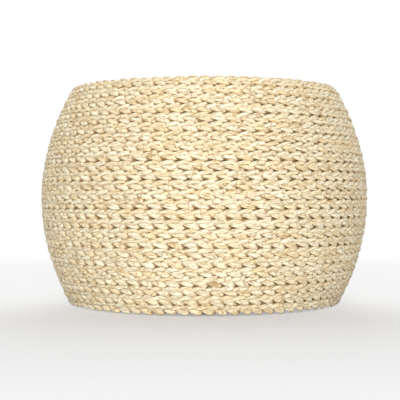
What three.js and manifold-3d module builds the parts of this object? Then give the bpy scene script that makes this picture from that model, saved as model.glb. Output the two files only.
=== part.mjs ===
// Outdoor ottoman footstool: a barrel of plaited straw-coloured strand, wound turn on turn over a
// welded frame of round rod, with a flat spiral of the same plait over a drained seat deck.
// Millimetres, +Z up, origin on the floor under the middle of the barrel, front towards -Y.
import * as THREE from "three";
import { mergeVertices } from "three/addons/utils/BufferGeometryUtils.js";
import Module from "manifold-3d";

const wasm = await Module();
wasm.setup();

// Driving dimensions of the barrel, measured on the outside of the plait
const bellyRadius = 300;
const sideHeight = 378.24; // of the side rows together
const bellyHeightShare = 0.504; // widest level, as a share of the side rows' height
const footRadius = 249.3; // at the lowest edge of the plait
const shoulderRadius = 250; // at the top of the side rows
const footStandoff = 3; // the plait's lowest edge hangs this far above the floor

// Plait
const rowGap = 0.6; // air between one row and the next
const plaitThickness = 12.5;
const rowBulge = 2.6; // a row's middle stands out this far past its edges
const rowCrestShares = [0.12, 0.46]; // a row is fullest between these shares of its height
const sideRows = 24;
const sideStepsPerTurn = 24;
const sideClimbSteps = 3; // each turn climbs to the next row in these steps, at the back
const seatStepsPerTurn = 16;
const seatClimbSteps = 2;
const seatEyeRadius = 6; // small hole left in the middle of the spiral
const seatBevel = 3.4; // a seat row is narrower on top by this much on each side
const bevelWidthShare = 0.4; // the bevel's largest share of a row that tapers
const seatTailShare = 0.25; // share of a turn by which the spiral stops short, where it is thin

// Frame
const ribCount = 8;
const ribRadius = 4;
const ribSteps = 14;
const ringRadius = 5; // of the rod that the rings are bent from
const ringSegments = 32;
const rodSides = 8;
const seatGap = 0.3; // between pieces that rest on, or are welded to, each other

// Seat deck and the bars under it
const deckThickness = 9;
const deckSegments = 48;
const ribSlotClearance = 1;
const drainCount = 8;
const drainRadius = 5;
const drainCircleRadius = 112;
const holeSegments = 10;
const barWidth = 30;
const barThickness = 4;

// Deck screws
const screwShankRadius = 2;
const screwHeadRadius = 4.2;
const screwHeadHeight = 2.4;
const screwTipCover = 2.2; // board left over the screw's pilot hole
const screwTipClearance = 0.3;
const screwPoint = 2; // length of the cone at the tip
const screwTipRadius = 0.5;
const screwSocketRadius = 1.5;
const screwSocketDepth = 1.3;
const screwHoleClearance = 0.3;
const screwSegments = 8;
const screwSocketSides = 6;
const innerScrewReach = 78; // distance of the inner screws from the middle
const outerScrewReach = 176;

// Feet
const footCount = 6;
const footFirstAngle = Math.PI / 6;
const glideRadius = 13;
const glideHeight = 7;
const glideEdge = 1.6; // chamfer where the glide meets the floor
const stemRadius = 4;
const stemBarb = 1.2; // the snap head is this much wider than the stem
const stemHeadHeight = 4;
const stemTipShare = 0.6; // tip radius of the snap head, as a share of the stem's
const stemClearance = 0.3;
const tabThickness = 3;
const stemToRing = 10.8; // air between the snap head and the foot ring
const tabSegments = 6;
const glideSegments = 16;

const cutOverrun = 2;
const fullTurn = 2 * Math.PI;
const backAngle = Math.PI / 2;
const barArms = 4;

// Levels, from the floor up
const rowPitch = sideHeight / sideRows;
const sideTop = footStandoff + sideHeight;
const seatUnderside = sideTop + rowGap / 2;
const seatTop = seatUnderside + plaitThickness;
const deckTop = seatUnderside - seatGap;
const deckUnderside = deckTop - deckThickness;
const barTop = deckUnderside - seatGap;
const barUnderside = barTop - barThickness;
const topRingLevel = deckUnderside - seatGap - ringRadius;
const bellyLevel = footStandoff + sideHeight * bellyHeightShare;
const tabUnderside = glideHeight + seatGap;
const tabTop = tabUnderside + tabThickness;
const footRingLevel = tabTop + seatGap + ringRadius;
const ribFoot = footStandoff + ribRadius;
const ribTop = deckTop - ribRadius;

// Seat spiral, from the rim in to the eye
const rimRadius = shoulderRadius - rowBulge;
const seatTurns = Math.round((rimRadius - seatEyeRadius) / rowPitch);
const seatPitch = (rimRadius - seatEyeRadius) / seatTurns;

// Outside of the barrel at a level: two parabolas that meet at the belly
function barrelRadius(level) {
  const above = level > bellyLevel;
  const endRadius = above ? shoulderRadius : footRadius;
  const endLevel = above ? sideTop : footStandoff;
  const reach = (level - bellyLevel) / (endLevel - bellyLevel);
  return bellyRadius - (bellyRadius - endRadius) * reach * reach;
}

// Length of the barrel's outline for each unit of its height
function outlineStretch(level) {
  const above = level > bellyLevel;
  const endRadius = above ? shoulderRadius : footRadius;
  const endLevel = above ? sideTop : footStandoff;
  const slope = (2 * (bellyRadius - endRadius) * (level - bellyLevel)) / (endLevel - bellyLevel) ** 2;
  return Math.hypot(1, slope);
}

// Middle of a rib at a level, just inside the plait
function ribPathRadius(level) {
  return barrelRadius(level) - plaitThickness - (seatGap + ribRadius) * outlineStretch(level);
}

// Middle of a ring's rod at a level, just inside the ribs
function ringPathRadius(level) {
  return ribPathRadius(level) - (ribRadius + seatGap + ringRadius) * outlineStretch(level);
}

// A corner of a flat-sided turn, set out so that the flats touch the true circle
function turnPoint(radius, angle, level, stepsPerTurn) {
  const cornerRadius = radius / Math.cos(Math.PI / stepsPerTurn);
  return new THREE.Vector3(cornerRadius * Math.cos(angle), cornerRadius * Math.sin(angle), level);
}

// Turns the faces outward and leaves one shared vertex at each corner
function closedGeometry(source) {
  const bare = source.clone();
  bare.deleteAttribute("normal");
  bare.deleteAttribute("uv");
  const merged = mergeVertices(bare);
  const position = merged.getAttribute("position");
  const index = merged.index.array;
  const corner = [new THREE.Vector3(), new THREE.Vector3(), new THREE.Vector3()];
  let volume = 0;
  for (let i = 0; i < index.length; i += 3) {
    corner.forEach((point, k) => point.fromBufferAttribute(position, index[i + k]));
    volume += corner[0].dot(corner[1].cross(corner[2]));
  }
  if (volume < 0) {
    for (let i = 0; i < index.length; i += 3) {
      [index[i], index[i + 1]] = [index[i + 1], index[i]];
    }
  }
  return merged;
}

function solidOf(geometry) {
  const closed = closedGeometry(geometry);
  const vertProperties = new Float32Array(closed.getAttribute("position").array);
  const triVerts = new Uint32Array(closed.index.array);
  return new wasm.Manifold(new wasm.Mesh({ numProp: 3, vertProperties, triVerts }));
}

function geometryOf(solid) {
  const mesh = solid.getMesh();
  const geometry = new THREE.BufferGeometry();
  geometry.setAttribute("position", new THREE.BufferAttribute(mesh.vertProperties, 3));
  geometry.setIndex(new THREE.BufferAttribute(mesh.triVerts, 1));
  return geometry;
}

function cutFrom(blank, tools) {
  let solid = solidOf(blank);
  tools.forEach((tool) => {
    solid = solid.subtract(solidOf(tool));
  });
  return geometryOf(solid);
}

// One closed tube through rings of points, each with as many points as the last
function tubeThrough(rings) {
  const sides = rings[0].length;
  const position = rings.flat().flatMap((point) => [point.x, point.y, point.z]);
  const index = [];
  for (let ring = 0; ring + 1 < rings.length; ring += 1) {
    for (let side = 0; side < sides; side += 1) {
      const here = ring * sides + side;
      const next = ring * sides + ((side + 1) % sides);
      index.push(here, next, here + sides, next, next + sides, here + sides);
    }
  }
  const last = (rings.length - 1) * sides;
  for (let side = 1; side + 1 < sides; side += 1) {
    index.push(0, side + 1, side, last, last + side, last + side + 1);
  }
  const geometry = new THREE.BufferGeometry();
  geometry.setAttribute("position", new THREE.Float32BufferAttribute(position, 3));
  geometry.setIndex(index);
  return closedGeometry(geometry);
}

function revolved(points, segments) {
  const geometry = new THREE.LatheGeometry(points, segments);
  geometry.rotateX(Math.PI / 2);
  return closedGeometry(geometry);
}

function uprightCylinder(radius, height, segments) {
  const geometry = new THREE.CylinderGeometry(radius, radius, height, segments);
  geometry.rotateX(Math.PI / 2);
  return geometry;
}

// Where the edge between two rows lies after some turns, counted in rows: level round the barrel,
// then up by one row over the climb. evenness 1 makes it rise steadily instead.
function rowEdge(turns, climbShare, evenness) {
  const whole = Math.floor(turns);
  const part = turns - whole;
  const climb = Math.max(0, (part - (1 - climbShare)) / climbShare);
  return whole + THREE.MathUtils.lerp(climb, part, evenness);
}

// Least distance from a turn to the next one, on the corners and the middles of their edges
function leastTurnGap(rings, stepsPerTurn) {
  const withMiddles = rings.map((ring) =>
    ring.flatMap((point, k) => [point, point.clone().lerp(ring[(k + 1) % ring.length], 0.5)])
  );
  let least = Infinity;
  for (let ring = 0; ring + stepsPerTurn < rings.length; ring += 1) {
    for (const point of withMiddles[ring]) {
      for (const other of withMiddles[ring + stepsPerTurn]) {
        least = Math.min(least, point.distanceTo(other));
      }
    }
  }
  return least;
}

// The climbs of both windings are centred on the back of the stool
function stationAngle(step, stepsPerTurn, climbSteps) {
  return backAngle + ((step + climbSteps / 2) / stepsPerTurn) * fullTurn;
}

function sidePlaitRings() {
  const climbShare = sideClimbSteps / sideStepsPerTurn;
  const rings = [];
  for (let step = 1 - sideClimbSteps; step < sideRows * sideStepsPerTurn; step += 1) {
    const turns = step / sideStepsPerTurn;
    const lowEdge = Math.max(0, rowEdge(turns, climbShare, 0));
    const highEdge = Math.min(sideRows, rowEdge(turns + 1, climbShare, 0));
    const low = footStandoff + lowEdge * rowPitch + rowGap / 2;
    const high = footStandoff + highEdge * rowPitch - rowGap / 2;
    const outline = [
      [low, plaitThickness],
      [low, rowBulge],
      ...rowCrestShares.map((share) => [THREE.MathUtils.lerp(low, high, share), 0]),
      [high, rowBulge],
      [high, plaitThickness],
    ];
    const angle = stationAngle(step, sideStepsPerTurn, sideClimbSteps);
    rings.push(
      outline.map(([level, depth]) =>
        turnPoint(barrelRadius(level) - depth, angle, level, sideStepsPerTurn)
      )
    );
  }
  return rings;
}

function seatPlaitRings() {
  const climbShare = seatClimbSteps / seatStepsPerTurn;
  const rings = [];
  const lastStep = Math.round((seatTurns - seatTailShare) * seatStepsPerTurn);
  for (let step = 1 - seatClimbSteps; step <= lastStep; step += 1) {
    const turns = step / seatStepsPerTurn;
    const evennessHere = THREE.MathUtils.clamp(turns / seatTurns, 0, 1);
    const evennessNext = THREE.MathUtils.clamp((turns + 1) / seatTurns, 0, 1);
    const outerEdge = Math.max(0, rowEdge(turns, climbShare, evennessHere));
    const innerEdge = Math.min(seatTurns, rowEdge(turns + 1, climbShare, evennessNext));
    const outer = rimRadius - outerEdge * seatPitch - rowGap / 2;
    const inner = rimRadius - innerEdge * seatPitch + rowGap / 2;
    const bevel = Math.min(seatBevel, (outer - inner) * bevelWidthShare);
    const outline = [
      [outer, seatUnderside],
      [outer - bevel, seatTop],
      [inner + bevel, seatTop],
      [inner, seatUnderside],
    ];
    const angle = stationAngle(step, seatStepsPerTurn, seatClimbSteps);
    rings.push(
      outline.map(([radius, level]) => turnPoint(radius, angle, level, seatStepsPerTurn))
    );
  }
  return rings;
}

class RibPath extends THREE.Curve {
  getPoint(share, target = new THREE.Vector3()) {
    const level = THREE.MathUtils.lerp(ribFoot, ribTop, share);
    return target.set(ribPathRadius(level), 0, level);
  }
}

function rodSection(radius) {
  const points = [];
  for (let side = 0; side < rodSides; side += 1) {
    const angle = (side / rodSides) * fullTurn;
    points.push(new THREE.Vector2(radius * Math.cos(angle), radius * Math.sin(angle)));
  }
  return points;
}

function ribGeometry() {
  const section = new THREE.Shape(rodSection(ribRadius));
  const options = { steps: ribSteps, bevelEnabled: false, extrudePath: new RibPath() };
  return closedGeometry(new THREE.ExtrudeGeometry(section, options));
}

function ringGeometry(level) {
  const centre = new THREE.Vector2(ringPathRadius(level), level);
  const section = rodSection(ringRadius).map((point) => point.add(centre));
  section.push(section[0].clone());
  return revolved(section, ringSegments);
}

// Where each screw stands, two on each arm of the cross under the deck
function screwPlaces() {
  const places = [];
  for (let arm = 0; arm < barArms; arm += 1) {
    const angle = (arm / barArms) * fullTurn;
    const alongX = Math.round(Math.cos(angle));
    const alongY = Math.round(Math.sin(angle));
    [innerScrewReach, outerScrewReach].forEach((reach) => {
      places.push(new THREE.Vector2(alongX * reach, alongY * reach));
    });
  }
  return places;
}

function deckGeometry() {
  const radius = barrelRadius(deckTop) - plaitThickness - seatGap;
  const blank = uprightCylinder(radius, deckThickness, deckSegments);
  blank.translate(0, 0, deckUnderside + deckThickness / 2);
  const tools = [];
  const slotFloor = ribPathRadius(deckTop) - ribRadius * outlineStretch(deckTop) - ribSlotClearance;
  const slotLength = radius - slotFloor + cutOverrun;
  const slotWidth = 2 * (ribRadius + ribSlotClearance);
  const cutHeight = deckThickness + 2 * cutOverrun;
  for (let rib = 0; rib < ribCount; rib += 1) {
    const slot = new THREE.BoxGeometry(slotLength, slotWidth, cutHeight);
    slot.translate(slotFloor + slotLength / 2, 0, deckUnderside + deckThickness / 2);
    slot.rotateZ((rib / ribCount) * fullTurn);
    tools.push(slot);
  }
  for (let drain = 0; drain < drainCount; drain += 1) {
    const hole = uprightCylinder(drainRadius, cutHeight, holeSegments);
    hole.translate(drainCircleRadius, 0, deckUnderside + deckThickness / 2);
    hole.rotateZ(((drain + 0.5) / drainCount) * fullTurn);
    tools.push(hole);
  }
  const pilotDepth = deckThickness - screwTipCover;
  screwPlaces().forEach((place) => {
    const pilot = uprightCylinder(
      screwShankRadius + screwHoleClearance,
      pilotDepth + cutOverrun,
      holeSegments
    );
    pilot.translate(place.x, place.y, deckUnderside + (pilotDepth - cutOverrun) / 2);
    tools.push(pilot);
  });
  return cutFrom(blank, tools);
}

// How far a bar's square end reaches inside the top ring, whose flats fall back from its corners
function barReach() {
  const ringInside = ringPathRadius(topRingLevel) - ringRadius;
  const flatsFallback = (barWidth / 2) * Math.tan(Math.PI / ringSegments);
  return ringInside - flatsFallback - seatGap;
}

// A flat bar along X between two reaches, drilled for the screws that stand on it
function barGeometry(start, end) {
  const blank = new THREE.BoxGeometry(end - start, barWidth, barThickness);
  blank.translate((start + end) / 2, 0, barUnderside + barThickness / 2);
  const reaches = [-outerScrewReach, -innerScrewReach, innerScrewReach, outerScrewReach];
  const tools = reaches
    .filter((reach) => reach > start && reach < end)
    .map((reach) => {
      const hole = uprightCylinder(
        screwShankRadius + screwHoleClearance,
        barThickness + 2 * cutOverrun,
        holeSegments
      );
      return hole.translate(reach, 0, barUnderside + barThickness / 2);
    });
  return cutFrom(blank, tools);
}

// A pan-head screw driven up through a bar into the deck
function screwGeometry() {
  const headTop = barUnderside - seatGap;
  const headFoot = headTop - screwHeadHeight;
  const tip = deckTop - screwTipCover - screwTipClearance;
  const profile = [
    new THREE.Vector2(0, headFoot),
    new THREE.Vector2(screwHeadRadius - screwTipRadius, headFoot),
    new THREE.Vector2(screwHeadRadius, headFoot + screwTipRadius),
    new THREE.Vector2(screwHeadRadius, headTop),
    new THREE.Vector2(screwShankRadius, headTop),
    new THREE.Vector2(screwShankRadius, tip - screwPoint),
    new THREE.Vector2(screwTipRadius, tip),
    new THREE.Vector2(0, tip),
  ];
  const socket = uprightCylinder(
    screwSocketRadius,
    screwSocketDepth + cutOverrun,
    screwSocketSides
  );
  socket.translate(0, 0, headFoot + (screwSocketDepth - cutOverrun) / 2);
  return cutFrom(revolved(profile, screwSegments), [socket]);
}

// How far the glides stand from the middle: their snap heads clear the foot ring
function glideReach() {
  return ringPathRadius(footRingLevel) - ringRadius - stemToRing - stemBarb - stemRadius;
}

// A welded plate under the foot ring, from just inside the ribs to a round inner end, with a hole
// for the glide's stem
function footTabGeometry() {
  const glideCentre = glideReach();
  const ribInside = ribPathRadius(tabUnderside) - ribRadius * outlineStretch(tabUnderside);
  const outerEnd = ribInside - seatGap;
  const plate = new THREE.Shape();
  plate.moveTo(outerEnd, glideRadius);
  plate.lineTo(glideCentre, glideRadius);
  plate.absarc(glideCentre, 0, glideRadius, Math.PI / 2, 1.5 * Math.PI, false);
  plate.lineTo(outerEnd, -glideRadius);
  plate.closePath();
  const hole = new THREE.Path();
  hole.absarc(glideCentre, 0, stemRadius + stemClearance, 0, fullTurn, false);
  plate.holes.push(hole);
  const options = { depth: tabThickness, bevelEnabled: false, curveSegments: tabSegments };
  const geometry = new THREE.ExtrudeGeometry(plate, options);
  geometry.translate(0, 0, tabUnderside);
  return closedGeometry(geometry);
}

// A round glide whose stem snaps up through the tab
function glideGeometry() {
  const headFoot = tabTop + stemClearance;
  const headTop = headFoot + stemHeadHeight;
  const profile = [
    new THREE.Vector2(0, 0),
    new THREE.Vector2(glideRadius - glideEdge, 0),
    new THREE.Vector2(glideRadius, glideEdge),
    new THREE.Vector2(glideRadius, glideHeight),
    new THREE.Vector2(stemRadius, glideHeight),
    new THREE.Vector2(stemRadius, headFoot),
    new THREE.Vector2(stemRadius + stemBarb, headFoot),
    new THREE.Vector2(stemRadius * stemTipShare, headTop),
    new THREE.Vector2(0, headTop),
  ];
  const geometry = revolved(profile, glideSegments);
  return geometry.translate(glideReach(), 0, 0);
}

const finishes = {
  plait: new THREE.MeshStandardMaterial({ color: "#e6d2a8", roughness: 0.8, metalness: 0 }),
  frame: new THREE.MeshStandardMaterial({ color: "#3f372f", roughness: 0.55, metalness: 0.3 }),
  deck: new THREE.MeshStandardMaterial({ color: "#a98f68", roughness: 0.7, metalness: 0 }),
  glide: new THREE.MeshStandardMaterial({ color: "#2a2723", roughness: 0.6, metalness: 0 }),
  screw: new THREE.MeshStandardMaterial({ color: "#b9bbbd", roughness: 0.3, metalness: 1 }),
};

function named(name, geometry, finish) {
  const mesh = new THREE.Mesh(geometry, finish);
  mesh.name = name;
  return mesh;
}

// Copies of one piece at even angles round the stool, each a mesh of its own
function addRound(group, name, count, firstAngle, geometry, finish) {
  for (let copy = 0; copy < count; copy += 1) {
    const mesh = named(`${name}_${copy + 1}`, geometry, finish);
    mesh.rotation.z = firstAngle + (copy / count) * fullTurn;
    group.add(mesh);
  }
}

function plaitGroup() {
  const group = new THREE.Group();
  const sideRings = sidePlaitRings();
  const seatRings = seatPlaitRings();
  console.log("side_plait least gap, mm:", leastTurnGap(sideRings, sideStepsPerTurn).toFixed(3));
  console.log("seat_plait least gap, mm:", leastTurnGap(seatRings, seatStepsPerTurn).toFixed(3));
  group.add(named("side_plait", tubeThrough(sideRings), finishes.plait));
  group.add(named("seat_plait", tubeThrough(seatRings), finishes.plait));
  return group;
}

function frameGroup() {
  const group = new THREE.Group();
  group.add(named("foot_ring", ringGeometry(footRingLevel), finishes.frame));
  group.add(named("belly_ring", ringGeometry(bellyLevel), finishes.frame));
  group.add(named("top_ring", ringGeometry(topRingLevel), finishes.frame));
  addRound(group, "rib", ribCount, 0, ribGeometry(), finishes.frame);
  addRound(group, "foot_tab", footCount, footFirstAngle, footTabGeometry(), finishes.frame);
  const reach = barReach();
  group.add(named("deck_bar_long", barGeometry(-reach, reach), finishes.frame));
  const halfStart = barWidth / 2 + seatGap;
  const halfBar = barGeometry(halfStart, reach);
  const back = named("deck_bar_back", halfBar, finishes.frame);
  back.rotation.z = backAngle;
  const front = named("deck_bar_front", halfBar, finishes.frame);
  front.rotation.z = -backAngle;
  group.add(back, front);
  return group;
}

function seatGroup() {
  const group = new THREE.Group();
  group.add(named("seat_deck", deckGeometry(), finishes.deck));
  const screw = screwGeometry();
  screwPlaces().forEach((place, number) => {
    const mesh = named(`deck_screw_${number + 1}`, screw, finishes.screw);
    mesh.position.set(place.x, place.y, 0);
    group.add(mesh);
  });
  return group;
}

function feetGroup() {
  const group = new THREE.Group();
  addRound(group, "glide", footCount, footFirstAngle, glideGeometry(), finishes.glide);
  return group;
}

const ottoman = new THREE.Group();
ottoman.add(plaitGroup(), frameGroup(), seatGroup(), feetGroup());

export default ottoman;
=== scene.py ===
"""Outdoor ottoman footstool: a barrel wound with three-strand plait, over its welded frame.

Metres, +Z up, origin on the floor under the middle of the barrel, front towards -Y.
"""
import math

import bpy
import numpy as np
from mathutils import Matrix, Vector

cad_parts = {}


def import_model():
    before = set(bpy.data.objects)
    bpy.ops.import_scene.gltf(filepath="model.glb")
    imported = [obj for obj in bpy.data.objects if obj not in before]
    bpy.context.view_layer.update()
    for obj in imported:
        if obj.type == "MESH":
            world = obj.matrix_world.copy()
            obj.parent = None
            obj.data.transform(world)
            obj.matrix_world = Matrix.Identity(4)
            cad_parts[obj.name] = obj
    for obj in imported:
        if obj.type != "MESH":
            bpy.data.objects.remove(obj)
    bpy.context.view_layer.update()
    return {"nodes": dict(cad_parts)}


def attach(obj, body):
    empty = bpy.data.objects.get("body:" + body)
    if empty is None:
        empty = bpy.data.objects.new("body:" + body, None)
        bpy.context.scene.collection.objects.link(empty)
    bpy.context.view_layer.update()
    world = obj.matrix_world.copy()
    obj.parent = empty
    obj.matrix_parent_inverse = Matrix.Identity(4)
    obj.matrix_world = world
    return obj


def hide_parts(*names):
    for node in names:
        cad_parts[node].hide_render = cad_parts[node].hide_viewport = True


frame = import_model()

FULL_TURN = 2 * math.pi

# Camera: level, in front of the barrel
CAMERA_DISTANCE = 2.0156
CAMERA_HEIGHT = 0.1963
CAMERA_LENS = 97.03
CAMERA_SENSOR = 36.0
CAMERA_SHIFT = (-0.0107, -0.00855)

# Barrel, as in the CAD
BELLY_RADIUS = 0.300
FOOT_RADIUS = 0.2493
SHOULDER_RADIUS = 0.250
FOOT_LEVEL = 0.003
SIDE_HEIGHT = 0.37824
SEAT_TOP = 0.39404
BELLY_SHARE = 0.504  # of the side's height, where the barrel is widest
BELLY_LEVEL = FOOT_LEVEL + BELLY_SHARE * SIDE_HEIGHT
SHOULDER_LEVEL = FOOT_LEVEL + SIDE_HEIGHT
CORNER_RADIUS = 0.0065  # of the outline, where the side turns into the seat
EYE_RADIUS = 0.006
LEAST_RADIUS = 0.012  # at which the plait bends no tighter

# Outline
SLOPE_STEP = 1e-5
CORNER_ROUNDS = 20  # of the search for the level where the corner starts
SKIRT = 0.004  # by which the outline goes on below the lowest edge
SIDE_POINTS = 1200
CORNER_POINTS = 60
SEAT_POINTS = 900
INNERMOST = 1e-4  # radius at which the outline ends in the seat

# Rows of plait, from the foot up the side, over the rim and in to the eye of the seat
ROW_PITCH = 0.01576
FIRST_EDGE = FOOT_LEVEL + 0.0002  # of the lowest row, just inside the CAD's
SIDE_ROWS = 24
SEAT_ROWS = 16  # with the one that turns over the rim
TURNS = SIDE_ROWS + SEAT_ROWS
TURN_START = math.radians(112.5)  # at the back, where each turn starts
CLIMB_START = math.radians(315)  # on from there, where it begins to climb to the next row
PATH_STEPS = 1440  # of each turn

# Three-strand plait
STRANDS = 3
LEAVES_PER_TURN = 74.3  # that come to the front in each half of a row on the side
# How far each row's leaves are ahead, from the foot up, as shares of a leaf
LEAF_STARTS = [
    0.43, 0.77, 0.77, 0.00, 0.60, 0.65, 0.35, 0.62, 0.32, 0.46, 0.80, 0.90, 0.50,
    0.22, 0.32, 0.85, 0.98, 0.77, 0.66, 0.67, 0.60, 0.72, 0.34, 0.25, 0.26,
]
FIRST_LEAF = 0.40  # by which they all are ahead besides
SWING = 0.0049  # of a strand's middle to either side of the row's middle
LIFT = 0.0024  # of a strand's middle in front of the plait's middle
BACK_LIFT = 0.0036  # and behind it
PLAIT_DEPTH = 0.0047  # of the plait's middle below its outside
# A strand's course in one cycle, as (degrees, value): it comes up in the row's middle, swings out
# to the upper edge, dives and crosses behind, comes up in the middle and swings to the lower edge
SWING_COURSE = [
    (-30, -0.1), (-8, 0.25), (18, 0.52), (52, 0.84), (77, 1.02), (100, 1.04), (111, 0.75),
    (123, 0.05), (140, -0.25), (160, -0.52), (192, -0.86), (216, -1.02), (242, -1.04),
    (255, -0.78), (300, -0.35),
]
LIFT_COURSE = [
    (-45, -0.6), (-30, 0.2), (-15, 0.75), (5, 1.0), (45, 1.0), (78, 0.95), (92, 0.6),
    (105, -0.5), (116, -0.9), (128, -0.4), (142, 0.3), (162, 0.95), (190, 1.2), (222, 1.1),
    (238, 0.6), (253, -0.6), (272, -1.0), (298, -1.0),
]
WIDTH_COURSE = [
    (-30, 0.78), (-8, 0.84), (16, 0.86), (48, 0.92), (75, 1.0), (98, 1.05), (115, 0.84),
    (125, 0.7), (152, 0.8), (178, 0.96), (205, 1.14), (232, 1.18), (245, 1.08), (258, 0.82),
    (300, 0.74),
]
ROLL_COURSE = [
    (-20, 0.25), (50, 0.30), (95, 0.25), (122, 0.2), (150, 0.35), (200, 0.42), (245, 0.42),
    (275, 0.2), (300, 0.1),
]
# Painted shade that a leaf gets where it dives under its neighbour
DIVE_SHADE_COURSE = [
    (84, 0), (94, 0.55), (107, 0.7), (118, 0.2), (128, 0), (230, 0), (241, 0.55), (254, 0.7),
    (268, 0.2), (280, 0),
]
COURSE_EASE = math.radians(5)
UPPER_ENDS = (108, 126)  # degrees in which one leaf of a cycle passes into the next
LOWER_ENDS = (258, 335)
EARLY_LEAVES = 10  # random values kept for leaves before phase 0

# Leaves
LEAF_HALF_WIDTH = 0.0044
LEAF_HALF_THICKNESS = 0.0025
FRONT_SWELL = 0.08  # a leaf is thicker by this share in front and thinner behind
SQUARENESS = 0.85  # power of a leaf's section: 1 is an ellipse, less is squarer
END_SIZE = 0.45  # of a strand at the plait's two ends
END_SINK = 0.006  # by which the ends go in under their neighbours
TAPER_LENGTHS = (0.07, 0.035)  # at the foot and at the eye
FLOOR_GAP = 0.0006  # to which the lowest leaves are pressed flat
BROAD_FOLDS = 3  # round a leaf
NARROW_FOLDS = 5
FOLD_TURN = 0.06  # length in which the broad folds move on by one fold
FOLD_POWER = 0.7
FOLD_MEAN = 0.75
FOLD_SIZE = 1.04  # of a leaf's section, before its folds
BROAD_DEPTH = 0.11
NARROW_DEPTH = 0.06
CREST = 0.0046  # from the plait's middle out to where leaves get no painted shade
PIT_SHADE_DEPTH = 0.0052  # from there in to where their painted shade is darkest
MIDDLE_TONE = 0.5
RIM_EDGE = 0.8  # painted shade along a leaf's two rims
RIM_POWER = 6
BROAD_CREASE = 0.35  # width of the brown in the broad folds
NARROW_CREASE = 0.3
NARROW_EDGE = 0.6
STRAND_FIBRES = 1.7  # by which the fibres of one strand are shifted from the next one's

# How much one leaf differs from the next
SWING_SPREAD = 0.0003
LIFT_SPREAD = 0.0003
WIDTH_SPREAD = 0.08
THICKNESS_SPREAD = 0.08
ROLL_SPREAD = 0.07
TONE_SPREAD = 0.30
LARGEST_SPREAD = 2  # spreads from the middle, at most

# How values drift along the plait, as (amount, length from one random value to the next)
LEAF_DRIFT = (0.04, 0.16)
SWING_DRIFT = (0.0003, 0.022)
WIDTH_DRIFT = (0.05, 0.009)
BROAD_DRIFT = (1.6, 0.04)
NARROW_DRIFT = (3.0, 0.03)
DEPTH_DRIFT = (0.7, 0.025)
TONE_DRIFT = (0.12, 0.012)
CORE_DRIFT = (3, 0.03)
LEAF_SEED = 11
CORE_SEED = 61

# Filling leaves inside the plait, which close the holes between the strands and carry painted shade
CORE_HALF_WIDTH = 0.0074
CORE_HALF_THICKNESS = 0.0026
CORE_SQUARENESS = 0.7
CORE_OUT = -0.0020
CORE_END_SIZE = 0.3
CORE_TONE = 0.3
CORE_PIT_SHADE = 0.9
CORE_FOLDS = 6
CORE_FOLD_DEPTH = 0.08
CORE_FIBRES = 7.0  # by which its fibres are shifted from the strands'
CORE_STATIONS_PER_LEAF = 4


def camera():
    """The photograph's view: the camera is level and looks along +Y."""
    data = bpy.data.cameras.new("camera")
    data.lens = CAMERA_LENS
    data.sensor_width = CAMERA_SENSOR
    data.shift_x, data.shift_y = CAMERA_SHIFT
    view = bpy.data.objects.new("camera", data)
    view.location = (0, -CAMERA_DISTANCE, CAMERA_HEIGHT)
    view.rotation_euler = (math.pi / 2, 0, 0)
    bpy.context.collection.objects.link(view)
    bpy.context.scene.camera = view


camera()


# Outline of the barrel

def barrel_radius(level):
    """Outside of the barrel at a level: two parabolas that meet at the belly."""
    above = level > BELLY_LEVEL
    end_radius = np.where(above, SHOULDER_RADIUS, FOOT_RADIUS)
    end_level = np.where(above, SHOULDER_LEVEL, FOOT_LEVEL)
    reach = (level - BELLY_LEVEL) / (end_level - BELLY_LEVEL)
    return BELLY_RADIUS - (BELLY_RADIUS - end_radius) * reach**2


def barrel_slope(level):
    """Angle by which the barrel's outside leans in at a level; negative below the belly."""
    rise = barrel_radius(level + SLOPE_STEP) - barrel_radius(level - SLOPE_STEP)
    return math.atan(-rise / (2 * SLOPE_STEP))


def tangent_level(centre_level):
    """Level at which the corner's arc meets the barrel's side."""
    level = centre_level
    for _ in range(CORNER_ROUNDS):
        level = centre_level + CORNER_RADIUS * math.sin(barrel_slope(level))
    return level


def outline():
    """Row coordinate, radius, level and outward direction of the outline, from foot to eye."""
    arc_centre = SEAT_TOP - CORNER_RADIUS
    high = tangent_level(arc_centre)
    lean = barrel_slope(high)
    side = np.linspace(FOOT_LEVEL - SKIRT, high, SIDE_POINTS)
    turn = np.linspace(lean, math.pi / 2, CORNER_POINTS)
    rim_radius = barrel_radius(high) + CORNER_RADIUS * (np.cos(turn) - math.cos(lean))
    rim_level = arc_centre + CORNER_RADIUS * np.sin(turn)
    seat = np.linspace(rim_radius[-1], INNERMOST, SEAT_POINTS)
    radius = np.concatenate([barrel_radius(side)[:-1], rim_radius[:-1], seat])
    level = np.concatenate([side[:-1], rim_level[:-1], np.full(seat.size, SEAT_TOP)])
    length = np.concatenate([[0], np.cumsum(np.hypot(np.diff(radius), np.diff(level)))])
    row = (level - FIRST_EDGE) / ROW_PITCH
    last = np.interp(SIDE_ROWS, row[: side.size], length[: side.size])
    eye = length[-1] - EYE_RADIUS
    row = np.where(length > last, SIDE_ROWS + (length - last) / (eye - last) * SEAT_ROWS, row)
    return row, radius, level, np.gradient(level, length), -np.gradient(radius, length)


OUTLINE = outline()


def on_outline(row):
    """Radius, level and outward direction at a row coordinate."""
    places, *values = OUTLINE
    return [np.interp(row, places, v) for v in values]


# Path of the plait

def row_at(turned):
    """Row coordinate of the plait's middle, after it has turned by an angle from its start."""
    turn = np.clip(np.floor(turned / FULL_TURN), 0, TURNS - 1)
    climbed = turned - turn * FULL_TURN - CLIMB_START
    climb = np.clip(climbed / (FULL_TURN - CLIMB_START), 0, 1)
    return turn + 0.5 + climb * climb * (3 - 2 * climb)


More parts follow.
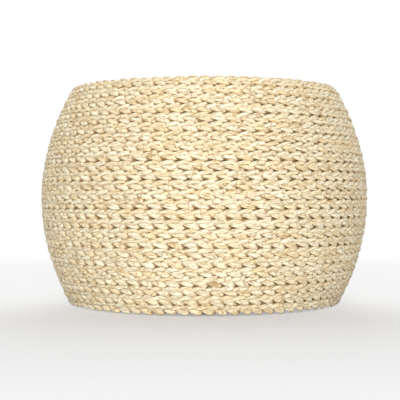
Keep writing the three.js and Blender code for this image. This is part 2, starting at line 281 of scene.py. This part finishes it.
def wander(seed, place, drift):
    """A smooth random curve through values that are a spacing apart."""
    amount, spacing = drift
    cell = place / spacing
    low = np.floor(cell).astype(int)
    values = np.random.default_rng(seed).uniform(-1, 1, int(low.max()) + 3)
    share = cell - low
    share = share * share * (3 - 2 * share)
    return amount * (values[low] * (1 - share) + values[low + 1] * share)


def plait_path():
    """Turned angle, length and strand phase along the whole plait."""
    end = TURNS * FULL_TURN - (FULL_TURN - CLIMB_START)
    turned = np.linspace(0, end, TURNS * PATH_STEPS)
    row = row_at(turned)
    radius, level, *_ = on_outline(row)
    steps = np.sqrt(
        (radius[1:] * np.diff(turned)) ** 2 + np.diff(radius) ** 2 + np.diff(level) ** 2
    )
    length = np.concatenate([[0], np.cumsum(steps)])
    rim = on_outline(SIDE_ROWS + 0.5)[0]
    share = np.minimum(np.where(row < SIDE_ROWS, 1, radius / rim), 1)
    rate = LEAVES_PER_TURN / FULL_TURN * share
    leaves = np.concatenate([[0], np.cumsum(rate[1:] * np.diff(turned))])
    starts = np.array(LEAF_STARTS) - LEAVES_PER_TURN * np.arange(len(LEAF_STARTS))
    starts = FIRST_LEAF + starts - np.round(starts)
    leaves += np.interp(row, np.arange(len(starts)) + 0.5, starts)
    leaves += wander(LEAF_SEED, length, LEAF_DRIFT)
    return turned, length, leaves * FULL_TURN / STRANDS


PATH_TURNED, PATH_LENGTH, PATH_PHASE = plait_path()

# Where a strand gets a station in a cycle: close together where it shows in front
CYCLE_STEPS = np.radians(np.concatenate([np.arange(-43, 262, 8), [275, 295]]))
# Corners of a leaf's section: close together on its outer half
SECTION = np.radians(np.concatenate([np.linspace(-24, 204, 14), [232, 256, 284, 308]]))


def eased(value, low, high):
    """0 below a range and 1 above it, with a smooth step between."""
    share = np.clip((value - low) / (high - low), 0, 1)
    return share * share * (3 - 2 * share)


def follow(course, phase):
    """Values at these phases of a smooth course through its keys."""
    degrees, values = np.array(course, dtype=float).T
    degrees = degrees % 360
    line = np.fft.rfft(np.interp(np.arange(360), degrees, values, period=360))
    line = np.fft.irfft(line * np.exp(-0.5 * (COURSE_EASE * np.arange(line.size)) ** 2), 360)
    return np.interp(np.degrees(phase), np.arange(360), line, period=360)


def strand_stations(strand):
    """Phases, places along the plait and turned angles of one strand's stations."""
    ahead = FULL_TURN * strand / STRANDS
    first = math.floor((PATH_PHASE[0] + ahead) / FULL_TURN) - 1
    last = math.ceil((PATH_PHASE[-1] + ahead) / FULL_TURN) + 1
    cycles = np.arange(first, last)
    phase = (cycles[:, None] * FULL_TURN + CYCLE_STEPS[None, :]).ravel()
    base = phase - ahead
    inside = (base > PATH_PHASE[0]) & (base < PATH_PHASE[-1])
    phase, base = phase[inside], base[inside]
    length = np.interp(base, PATH_PHASE, PATH_LENGTH)
    return phase, length, np.interp(base, PATH_PHASE, PATH_TURNED)


def per_leaf(seed, phase, spread):
    """A random value for each time that a strand comes to the front, eased from one to the next."""
    cycle = np.floor(phase / FULL_TURN)
    degrees = np.degrees(phase - cycle * FULL_TURN)
    second = eased(degrees, *UPPER_ENDS)
    third = eased(degrees, *LOWER_ENDS)
    upper = 2 * cycle.astype(int) + EARLY_LEAVES
    values = np.random.default_rng(seed).normal(0, spread, int(upper.max()) + 3)
    values = np.clip(values, -LARGEST_SPREAD * spread, LARGEST_SPREAD * spread)
    eased_in = values[upper + 1] * (second - third) + values[upper + 2] * third
    return values[upper] * (1 - second) + eased_in


def taper(length):
    """0 at the plait's two ends and 1 away from them, eased."""
    at_foot, at_eye = TAPER_LENGTHS
    return eased(length, 0, at_foot) * eased(PATH_LENGTH[-1] - length, 0, at_eye)


def power(value, exponent):
    """A power of a value's size, with the value's sign."""
    return np.sign(value) * np.abs(value) ** exponent


def plait_places(turned, across, out, along):
    """Points at these distances from the plait's middle, for stations by section corners."""
    row = row_at(turned)[:, None]
    radius, level, out_radius, out_level = on_outline(row + across / ROW_PITCH)
    depth = out - PLAIT_DEPTH
    angle = TURN_START + turned[:, None] + along / np.maximum(on_outline(row)[0], LEAST_RADIUS)
    radius = radius + depth * out_radius
    level = np.maximum(level + depth * out_level, FLOOR_GAP)
    return np.stack([radius * np.cos(angle), radius * np.sin(angle), level], axis=-1)


def leaf_folds(seed, length):
    """Broad and narrow waves round a leaf's section, from 0 in a crease, and their depth."""
    angle = SECTION[None, :]
    twist = FULL_TURN * length / FOLD_TURN
    turned = 0.5 * twist + wander(seed + 9, length, BROAD_DRIFT)
    broad = np.abs(np.cos(BROAD_FOLDS / 2 * angle + turned[:, None]))
    turned = wander(seed + 10, length, NARROW_DRIFT)
    narrow = np.abs(np.cos(NARROW_FOLDS / 2 * angle + turned[:, None]))
    return broad, narrow, 1 + wander(seed + 12, length, DEPTH_DRIFT)[:, None]


def strand_surface(strand):
    """Corner places, fibre coordinates and leaf values of one strand, by stations and corners."""
    phase, length, turned = strand_stations(strand)
    seed = 100 * (strand + 1)
    ends = taper(length)
    size = END_SIZE + (1 - END_SIZE) * ends

    swing = (SWING + per_leaf(seed + 1, phase, SWING_SPREAD)) * size
    across = swing * follow(SWING_COURSE, phase) + wander(seed + 3, length, SWING_DRIFT)
    front = follow(LIFT_COURSE, phase)
    out = np.where(front > 0, LIFT, BACK_LIFT) * size * front
    out += per_leaf(seed + 4, phase, LIFT_SPREAD)
    out -= END_SINK * (1 - ends)

    half_width = LEAF_HALF_WIDTH * size * follow(WIDTH_COURSE, phase)
    half_width *= 1 + per_leaf(seed + 5, phase, WIDTH_SPREAD)
    half_width *= 1 + wander(seed + 6, length, WIDTH_DRIFT)
    thickness = LEAF_HALF_THICKNESS * size * (1 + FRONT_SWELL * front)
    thickness *= 1 + per_leaf(seed + 7, phase, THICKNESS_SPREAD)
    roll = follow(ROLL_COURSE, phase) + per_leaf(seed + 8, phase, ROLL_SPREAD)
    roll = roll[:, None]

    travel = np.gradient(length)
    side_slope = np.arctan(np.gradient(across) / travel)[:, None]
    out_slope = np.arctan(np.gradient(out) / travel)[:, None]

    angle = SECTION[None, :]
    broad, narrow, deep = leaf_folds(seed, length)
    folds = BROAD_DEPTH * (broad**FOLD_POWER - FOLD_MEAN)
    folds = folds + NARROW_DEPTH * (narrow**FOLD_POWER - FOLD_MEAN)
    folds = FOLD_SIZE + deep * folds
    wide = half_width[:, None] * power(np.cos(angle), SQUARENESS) * folds
    high = thickness[:, None] * power(np.sin(angle), SQUARENESS) * folds
    wide_rolled = wide * np.cos(roll) + high * np.sin(roll)
    high_rolled = high * np.cos(roll) - wide * np.sin(roll)

    offset_across = across[:, None] + wide_rolled * np.cos(side_slope)
    offset_out = out[:, None] + high_rolled * np.cos(out_slope)
    offset_along = -wide_rolled * np.sin(side_slope) - high_rolled * np.sin(out_slope)
    places = plait_places(turned, offset_across, offset_out, offset_along)

    along = np.broadcast_to(length[:, None] + STRAND_FIBRES * strand, wide.shape)
    fibre = np.stack([along, wide, high], axis=-1)
    tone = MIDDLE_TONE + per_leaf(seed + 13, phase, TONE_SPREAD)
    tone = np.clip(tone + wander(seed + 14, length, TONE_DRIFT), 0, 1)
    tone = np.broadcast_to(tone[:, None], wide.shape)
    # Painted shade: darker the deeper a corner lies below the crest, and where the leaf dives
    dive_shade = follow(DIVE_SHADE_COURSE, phase)[:, None]
    pit_shade = np.clip((CREST - offset_out) / PIT_SHADE_DEPTH + dive_shade, 0, 1)
    # Brown in the folds' creases, and painted shade along the leaf's rims
    creases = np.clip(1 - broad / BROAD_CREASE, 0, 1) * deep
    edge = np.maximum(RIM_EDGE * np.abs(np.cos(angle)) ** RIM_POWER, creases)
    creases = NARROW_EDGE * np.clip(1 - narrow / NARROW_CREASE, 0, 1)
    edge = np.clip(np.maximum(edge, creases), 0, 1)
    leaf = np.stack([tone, pit_shade, edge, np.ones_like(wide)], axis=-1)
    return turned, places, fibre, leaf


def core_surface():
    """The filling leaves inside the plait, as one flat strand, in the same arrays as a strand's."""
    leaves = PATH_PHASE * STRANDS / FULL_TURN
    count = int((leaves[-1] - leaves[0]) * CORE_STATIONS_PER_LEAF)
    place = np.linspace(leaves[0], leaves[-1], count)
    turned = np.interp(place, leaves, PATH_TURNED)
    length = np.interp(place, leaves, PATH_LENGTH)
    ends = taper(length)[:, None]
    size = CORE_END_SIZE + (1 - CORE_END_SIZE) * ends
    angle = SECTION[None, :]
    wave = CORE_FOLDS * angle + wander(CORE_SEED, length, CORE_DRIFT)[:, None]
    folds = 1 + CORE_FOLD_DEPTH * np.cos(wave)
    wide = CORE_HALF_WIDTH * size * np.cos(angle) * folds
    high = CORE_HALF_THICKNESS * size * power(np.sin(angle), CORE_SQUARENESS) * folds
    out = high + CORE_OUT - END_SINK * (1 - ends)
    places = plait_places(turned, wide, out, np.zeros_like(wide))
    along = np.broadcast_to(length[:, None] + CORE_FIBRES, wide.shape)
    fibre = np.stack([along, wide, high], axis=-1)
    # The filling leaves carry painted shade all over
    leaf = np.broadcast_to((CORE_TONE, CORE_PIT_SHADE, 0, 1), (*wide.shape, 4))
    return turned, places, fibre, leaf


# Meshes

BAKE_STATIONS = 134  # stations of a strand side by side in the bake's map
BAKE_MARGIN = 0.06
CAP_RADIUS = 0.001  # of an end of a tube in that map
CAP_SHIFT = 0.002


def bake_places(laid, stations, lanes):
    """The bake's map of one tube, which is laid out in lanes, by stations and corners."""
    corners = SECTION.size
    around = np.arange(corners)
    step = laid + np.arange(stations - 1)
    lane = (step // BAKE_STATIONS)[:, None]
    column = (step % BAKE_STATIONS)[:, None]
    low = (around / corners)[None, :] * (1 - BAKE_MARGIN) + BAKE_MARGIN / 2
    high = ((around + 1) / corners)[None, :] * (1 - BAKE_MARGIN) + BAKE_MARGIN / 2
    left = column / BAKE_STATIONS + np.zeros_like(low)
    right = (column + 1) / BAKE_STATIONS + np.zeros_like(low)
    low, high = (lane + low) / lanes, (lane + high) / lanes
    turns = [(left, low), (left, high), (right, high), (right, low)]
    return np.stack([np.stack(corner, -1) for corner in turns], axis=2)


def bake_cap(laid, lanes):
    """The bake's map of a tube's end."""
    column = (laid % BAKE_STATIONS) / BAKE_STATIONS
    lane = (laid // BAKE_STATIONS + 0.5) / lanes
    ring = np.stack([np.cos(SECTION), np.sin(SECTION)], -1) * CAP_RADIUS
    return np.array([column, lane]) + CAP_SHIFT + ring


def tube_mesh(name, tubes):
    """Closed tubes in one mesh; each is (places, fibre, leaf) of stations by section corners."""
    corners = SECTION.size
    places, fibre, leaf = (
        np.concatenate([array.reshape(-1, array.shape[-1]) for array in arrays])
        for arrays in zip(*tubes)
    )
    total = sum(t[0].shape[0] - 1 for t in tubes)
    lanes = math.ceil(total / BAKE_STATIONS)
    around = np.arange(corners)
    after = (around + 1) % corners
    quads, maps, caps, cap_maps = [], [], [], []
    first = 0
    laid = 0
    for tube in tubes:
        stations = tube[0].shape[0]
        start = first + np.arange(stations - 1)[:, None] * corners
        sides = [start + around, start + after, start + corners + after, start + corners + around]
        quads.append(np.stack(sides, -1))
        maps.append(bake_places(laid, stations, lanes))
        caps.append(first + around[::-1])
        caps.append(first + (stations - 1) * corners + around)
        cap_maps += [bake_cap(laid, lanes)] * 2
        first += stations * corners
        laid += stations - 1
    quads = np.concatenate([q.reshape(-1, 4) for q in quads])
    loops = np.concatenate([quads.ravel(), np.concatenate(caps)])
    starts = np.concatenate(
        [np.arange(len(quads)) * 4, len(quads) * 4 + np.arange(len(caps)) * corners]
    )
    counts = np.concatenate([np.full(len(quads), 4), np.full(len(caps), corners)])
    mesh = bpy.data.meshes.new(name)
    mesh.vertices.add(len(places))
    mesh.vertices.foreach_set("co", places.astype(np.float32).ravel())
    mesh.loops.add(len(loops))
    mesh.loops.foreach_set("vertex_index", loops.astype(np.int32))
    mesh.polygons.add(len(starts))
    mesh.polygons.foreach_set("loop_start", starts.astype(np.int32))
    mesh.polygons.foreach_set("loop_total", counts.astype(np.int32))
    mesh.update(calc_edges=True)
    mesh.shade_smooth()
    bake = np.concatenate([np.concatenate([m.reshape(-1, 2) for m in maps]), *cap_maps])
    layer = mesh.uv_layers.new(name="OFBake")
    layer.data.foreach_set("uv", bake.astype(np.float32).ravel())
    for values, label, kind, field in (
        (fibre, "fibre", "FLOAT_VECTOR", "vector"),
        (leaf, "leaf", "FLOAT_COLOR", "color"),
    ):
        attribute = mesh.attributes.new(label, kind, "POINT")
        attribute.data.foreach_set(field, values.astype(np.float32).ravel())
    mesh.validate()
    return mesh


def put(name, mesh, material):
    """Links a new object for a mesh."""
    piece = bpy.data.objects.new(name, mesh)
    mesh.materials.append(material)
    bpy.context.collection.objects.link(piece)
    return piece


def plait_pieces(material):
    """One piece for each turn of the plait, from the foot to the middle of the seat."""
    strands = [strand_surface(k) for k in range(STRANDS)] + [core_surface()]
    for turn in range(TURNS):
        tubes = []
        for turned, *arrays in strands:
            first = np.searchsorted(turned, turn * FULL_TURN)
            last = min(np.searchsorted(turned, (turn + 1) * FULL_TURN) + 1, turned.size)
            tubes.append([a[first:last] for a in arrays])
        node = "side_plait" if turn < SIDE_ROWS else "seat_plait"
        name = f"{node}_turn_{turn + 1:02d}"
        piece = put(name, tube_mesh(name, tubes), material)
        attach(piece, "root")
        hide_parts(node)


# Materials

class Shader:
    """A node material with one Principled shader."""

    def __init__(self, name):
        self.material = bpy.data.materials.new(name)
        self.material.use_nodes = True
        self.tree = self.material.node_tree
        self.shader = self.tree.nodes["Principled BSDF"]

    def add(self, kind, inputs=None, **settings):
        """A node with its settings and inputs; an input is a number, a colour or an output."""
        node = self.tree.nodes.new(f"ShaderNode{kind}")
        for key, value in settings.items():
            setattr(node, key, value)
        for key, value in (inputs or {}).items():
            self.feed(node.inputs[key], value)
        return node

    def feed(self, socket, value):
        if isinstance(value, bpy.types.NodeSocket):
            self.tree.links.new(value, socket)
        else:
            socket.default_value = value

    def place(self):
        """The point on the object, in metres."""
        return self.add("TexCoord").outputs["Object"]

    def attribute(self, name, output):
        return self.add("Attribute", attribute_name=name).outputs[output]

    def math(self, operation, one, other):
        return self.add("Math", {0: one, 1: other}, operation=operation).outputs[0]

    def shifted(self, where, shift):
        return self.add("VectorMath", {0: where, 1: shift}, operation="ADD").outputs[0]

    def stretched(self, where, scale):
        return self.add("VectorMath", {0: where, 1: scale}, operation="MULTIPLY").outputs[0]

    def vector(self, **parts):
        return self.add("CombineXYZ", parts).outputs[0]

    def split(self, colour_value):
        return self.add("SeparateColor", {"Color": colour_value}).outputs

    def span(self, value, low, high, to_low=0.0, to_high=1.0):
        """A value from one range to another, eased and kept inside."""
        inputs = {
            "Value": value,
            "From Min": low,
            "From Max": high,
            "To Min": to_low,
            "To Max": to_high,
        }
        return self.add("MapRange", inputs, interpolation_type="SMOOTHSTEP").outputs["Result"]

    def mix(self, share, one, other):
        """One colour, covered with another by a share."""
        return self.add("Mix", {0: share, 6: one, 7: other}, data_type="RGBA").outputs[2]

    def noise(self, where, scale=1.0, detail=2.0, roughness=0.5, distortion=0.0):
        inputs = {
            "Vector": where,
            "Scale": scale,
            "Detail": detail,
            "Roughness": roughness,
            "Distortion": distortion,
        }
        return self.add("TexNoise", inputs).outputs[0]

    def cells(self, where, output, **settings):
        """Cells of a Voronoi pattern: their colour, or the distance to their edges."""
        inputs = {"Vector": where, "Scale": 1.0, "Randomness": 1.0}
        return self.add("TexVoronoi", inputs, **settings).outputs[output]

    def bump(self, height, distance, strength, normal=None):
        inputs = {"Height": height, "Distance": distance, "Strength": strength}
        if normal is not None:
            inputs["Normal"] = normal
        return self.add("Bump", inputs).outputs[0]

    def finish(self, **inputs):
        """The material, with these inputs on its shader."""
        for key, value in inputs.items():
            self.feed(self.shader.inputs[key.replace("_", " ")], value)
        return self.material


def colour(red, green, blue):
    """A colour for a node, from the values 0 to 255 that it has on a screen."""
    shares = (c / 255 for c in (red, green, blue))
    linear = [s / 12.92 if s <= 0.04045 else ((s + 0.055) / 1.055) ** 2.4 for s in shares]
    return (*linear, 1.0)


# Colours of the plait
STRAW = colour(249, 232, 192)
PALE_STRAW = colour(255, 251, 226)
PALE_PATCH = colour(255, 251, 229)
TAN_FIBRE = colour(226, 198, 150)
BROWN_FIBRE = colour(206, 172, 122)
STRIP_GAP = colour(190, 153, 95)
# Brown of the leaves' creases and painted shade along their rims
LEAF_EDGE = colour(186, 149, 90)
PIT_SHADE = colour(150, 115, 62)
# Painted shade in the plait's pits and where leaves dive
BROWN_ARC = colour(178, 138, 84)

# Stretch of its patterns, per metre along the leaf and across it or, for the arcs, in X, Y and Z
LONG_FIBRES = (55.0, 900.0, 900.0)
FINE_FIBRES = (140.0, 2600.0, 2600.0)
PATCHES = (60.0, 120.0, 120.0)
CRINKLES = (420.0, 500.0, 500.0)
STRIPS = (70.0, 210.0, 210.0)
ARCS = (46.0, 46.0, 34.0)
TONE_SHARE = 0.65  # of a leaf's own tone in its colour; the rest is its strips' tone
STRIP_SHARE = 0.35


def plait_material():
    """Dried leaf: pale straw with long fibres, in lighter and darker leaves, brown in creases, with
    painted shade in the plait's pits and along the leaves' rims.
    """
    m = Shader("plait")
    fibre = m.attribute("fibre", "Vector")
    tone, pit_shade, edge = m.split(m.attribute("leaf", "Color"))
    long_fibre = m.stretched(fibre, LONG_FIBRES)
    long_fibre = m.noise(long_fibre, detail=3.0, roughness=0.6, distortion=0.4)
    fine_fibre = m.noise(m.stretched(fibre, FINE_FIBRES), roughness=0.6)
    patch = m.noise(m.stretched(fibre, PATCHES), detail=3.0, roughness=0.6)
    crinkle = m.noise(m.stretched(fibre, CRINKLES), distortion=0.6)
    bent = m.shifted(m.stretched(fibre, STRIPS), m.vector(X=crinkle, Y=patch))
    strips = m.cells(bent, "Distance", feature="DISTANCE_TO_EDGE")
    strip_tone = m.split(m.cells(bent, "Color"))[0]

    where = m.place()
    drift = m.vector(
        X=m.noise(where, scale=30.0),
        Y=m.noise(where, scale=26.0),
        Z=m.noise(where, scale=50.0, detail=1.0),
    )
    drift = m.shifted(m.stretched(where, ARCS), drift)
    arcs = m.span(m.cells(drift, "Distance", feature="DISTANCE_TO_EDGE"), 0.05, 0.0)
    broken = m.span(m.noise(where, scale=60.0), 0.42, 0.54, to_high=0.7)

    tones = (m.math("MULTIPLY", tone, TONE_SHARE), m.math("MULTIPLY", strip_tone, STRIP_SHARE))
    body = m.mix(m.span(m.math("ADD", *tones), 0.15, 0.85), STRAW, PALE_STRAW)
    for share, shade in (
        (m.span(patch, 0.50, 0.66, to_high=0.6), PALE_PATCH),
        (m.span(long_fibre, 0.56, 0.36, to_high=0.32), TAN_FIBRE),
        (m.span(fine_fibre, 0.50, 0.36, to_high=0.22), BROWN_FIBRE),
        (m.span(strips, 0.06, 0.0, to_high=0.6), STRIP_GAP),
        # Brown in creases and painted shade along leaf rims
        (m.math("MULTIPLY", edge, m.span(long_fibre, 0.35, 0.6, to_low=0.5)), LEAF_EDGE),
        # Painted shade in the plait's pits and where leaves dive
        (m.span(pit_shade, 0.25, 0.95, to_high=0.9), PIT_SHADE),
        (m.math("MULTIPLY", arcs, broken), BROWN_ARC),
    ):
        body = m.mix(share, body, shade)

    relief = None
    for height, distance, strength in (
        (long_fibre, 0.0006, 0.7),
        (fine_fibre, 0.0002, 0.6),
        (crinkle, 0.0006, 0.5),
        (m.span(strips, 0.0, 0.12), 0.0006, 0.8),
        (strip_tone, 0.0005, 0.6),
    ):
        relief = m.bump(height, distance, strength, relief)
    rough = m.span(long_fibre, 0.3, 0.7, to_low=0.48, to_high=0.70)
    return m.finish(Base_Color=body, Roughness=rough, Normal=relief)


def coat_material():
    """Dark powder coat: a fine orange-peel skin, with dull and rubbed places."""
    m = Shader("frame_coat")
    where = m.place()
    skin = m.noise(where, scale=900.0)
    cloud = m.noise(where, scale=14.0, detail=4.0, roughness=0.6)
    speck = m.noise(where, scale=2200.0, detail=1.0)
    body = m.mix(m.span(cloud, 0.35, 0.65), colour(52, 45, 38), colour(70, 61, 52))
    body = m.mix(m.span(speck, 0.62, 0.70, to_high=0.5), body, colour(104, 94, 82))
    rough = m.span(cloud, 0.3, 0.7, to_low=0.42, to_high=0.58)
    relief = m.bump(skin, distance=0.0002, strength=0.6)
    return m.finish(Base_Color=body, Roughness=rough, Normal=relief)


def board_material():
    """Resin-bonded board: veneer grain along X with darker pores."""
    m = Shader("deck_board")
    where = m.place()
    warp = m.noise(m.stretched(where, (2.0, 9.0, 9.0)), detail=3.0)
    bent = m.shifted(where, m.vector(Y=m.math("MULTIPLY", warp, 0.05)))
    bent = m.stretched(bent, (0.4, 1.0, 1.0))
    waves = {"Vector": bent, "Scale": 22.0, "Distortion": 3.0, "Detail": 3.0}
    grain = m.add("TexWave", waves, bands_direction="Y").outputs[1]
    pores = m.noise(m.stretched(where, (60.0, 1400.0, 1400.0)))
    body = m.mix(m.span(grain, 0.2, 0.8), colour(150, 118, 78), colour(186, 154, 110))
    body = m.mix(m.span(pores, 0.40, 0.30, to_high=0.7), body, colour(98, 72, 44))
    rough = m.span(grain, 0.0, 1.0, to_low=0.5, to_high=0.66)
    relief = m.bump(grain, distance=0.0004, strength=0.3)
    relief = m.bump(pores, distance=0.0003, strength=0.5, normal=relief)
    return m.finish(Base_Color=body, Roughness=rough, Normal=relief)


def glide_material():
    """Moulded nylon: almost black, with a fine spark-eroded skin and scuffs."""
    m = Shader("glide_plastic")
    where = m.place()
    skin = m.noise(where, scale=1600.0)
    scuff = m.noise(m.stretched(where, (30.0, 260.0, 260.0)), detail=3.0)
    share = m.span(scuff, 0.56, 0.72, to_high=0.6)
    body = m.mix(share, colour(38, 35, 31), colour(74, 69, 62))
    rough = m.span(scuff, 0.4, 0.7, to_low=0.45, to_high=0.62)
    relief = m.bump(skin, distance=0.0001, strength=0.5)
    return m.finish(Base_Color=body, Roughness=rough, Normal=relief)


def steel_material():
    """Plain steel, turned and slightly dull."""
    m = Shader("screw_steel")
    where = m.place()
    lines = m.noise(m.stretched(where, (900.0, 900.0, 7000.0)))
    dull = m.noise(where, scale=240.0, detail=3.0)
    body = m.mix(m.span(dull, 0.4, 0.65), colour(176, 178, 180), colour(202, 203, 205))
    rough = m.span(dull, 0.35, 0.7, to_low=0.26, to_high=0.44)
    relief = m.bump(lines, distance=0.0001, strength=0.4)
    return m.finish(Base_Color=body, Metallic=1.0, Roughness=rough, Normal=relief)


def dress(prefixes, material):
    """Gives the CAD nodes whose names start so a material, and leaves their shapes alone."""
    for name, node in frame["nodes"].items():
        if name.startswith(prefixes):
            for slot in node.material_slots:
                slot.link = "OBJECT"
                slot.material = material


# Stage

FLOOR_RADIUS = 6.0
FLOOR_CORNERS = 96
FLOOR_FADE = (0.4, 1.7)  # distances from the middle between which the floor turns white
FLOOR_SIDES = (-0.40, 0.05)  # places along Y between which the painted white light on the floor grows
FLOOR_PAINTED_WHITE = (0.2, 0.68)  # share of painted white light over the floor and its shadow, in front of the object and beside it
FLOOR_COLOUR = colour(222, 222, 222)
FLOOR_ROUGHNESS = 0.9
FLOOR_SPECULAR = 0.1
AMBIENT = 0.345  # strength of the light from all round
WHITE = (1.0, 1.0, 1.0, 1.0)
# Name, place, target, width and power of each lamp
LAMPS = [
    ("key", (-0.04, -3.3, 0.95), (0, 0, 0.2), 1.0, 87),
    ("top", (0, 0.7, 3.0), (0, 0, 0.3), 2.6, 38),
    ("back", (0, 3.3, 1.2), (0, 0, 0.2), 1.6, 42),
]


def seen_directly(tree):
    """1 for rays from the camera, a mirror or glass, and 0 for rays that light the object."""
    path = tree.nodes.new("ShaderNodeLightPath")
    total = path.outputs["Is Camera Ray"]
    for name in ("Is Glossy Ray", "Is Transmission Ray"):
        either = tree.nodes.new("ShaderNodeMath")
        either.operation = "MAXIMUM"
        tree.links.new(total, either.inputs[0])
        tree.links.new(path.outputs[name], either.inputs[1])
        total = either.outputs[0]
    return total


def world():
    """Soft light from all round, seen as white."""
    sky = bpy.data.worlds.new("studio")
    sky.use_nodes = True
    tree = sky.node_tree
    background = tree.nodes["Background"]
    background.inputs["Color"].default_value = WHITE
    strength = tree.nodes.new("ShaderNodeMapRange")
    tree.links.new(seen_directly(tree), strength.inputs["Value"])
    strength.inputs["To Min"].default_value = AMBIENT
    strength.inputs["To Max"].default_value = 1.0
    tree.links.new(strength.outputs["Result"], background.inputs["Strength"])
    bpy.context.scene.world = sky


def floor():
    """A pale floor that keeps the object's shadow, lightened by painted white light more beside the
    object than in front, and fades into the white behind it.
    """
    m = Shader("floor")
    where = m.place()
    away = m.add("VectorMath", {0: where}, operation="LENGTH").outputs["Value"]
    near, far = FLOOR_FADE
    fade = {
        "Value": away,
        "From Min": near,
        "From Max": far,
        "To Min": FLOOR_PAINTED_WHITE[0],
        "To Max": 1.0,
    }
    fade = m.add("MapRange", fade).outputs["Result"]
    back = m.add("SeparateXYZ", {0: where}).outputs["Y"]
    # Painted white light over the floor's shadow, stronger beside and behind the object than in
    # front
    beside = m.span(back, *FLOOR_SIDES, *FLOOR_PAINTED_WHITE)
    share = m.math("MULTIPLY", m.math("MAXIMUM", fade, beside), seen_directly(m.tree))
    white = m.add("Emission", {"Color": WHITE, "Strength": 1.0})
    both = m.add("MixShader", {0: share, 1: m.shader.outputs[0], 2: white.outputs[0]})
    m.tree.links.new(both.outputs[0], m.tree.nodes["Material Output"].inputs["Surface"])
    m.shader.inputs["Specular IOR Level"].default_value = FLOOR_SPECULAR
    material = m.finish(Base_Color=FLOOR_COLOUR, Roughness=FLOOR_ROUGHNESS)
    angles = [FULL_TURN * i / FLOOR_CORNERS for i in range(FLOOR_CORNERS)]
    corners = [(FLOOR_RADIUS * math.cos(a), FLOOR_RADIUS * math.sin(a), 0) for a in angles]
    mesh = bpy.data.meshes.new("floor")
    mesh.from_pydata(corners, [], [range(FLOOR_CORNERS)])
    put("floor", mesh, material)


def softbox(name, place, target, width, strength):
    """A square area lamp that points at a place."""
    data = bpy.data.lights.new(name, "AREA")
    data.shape = "SQUARE"
    data.size = width
    data.energy = strength
    lamp = bpy.data.objects.new(name, data)
    lamp.location = place
    lamp.rotation_euler = (Vector(target) - Vector(place)).to_track_quat("-Z", "Y").to_euler()
    bpy.context.collection.objects.link(lamp)


# The scene

plait_pieces(plait_material())
dress(("foot_ring", "belly_ring", "top_ring", "rib_", "deck_bar", "foot_tab"), coat_material())
dress(("seat_deck",), board_material())
dress(("glide",), glide_material())
dress(("deck_screw",), steel_material())

world()
floor()
for lamp in LAMPS:
    softbox(*lamp)

bpy.context.scene.view_settings.view_transform = "Standard"
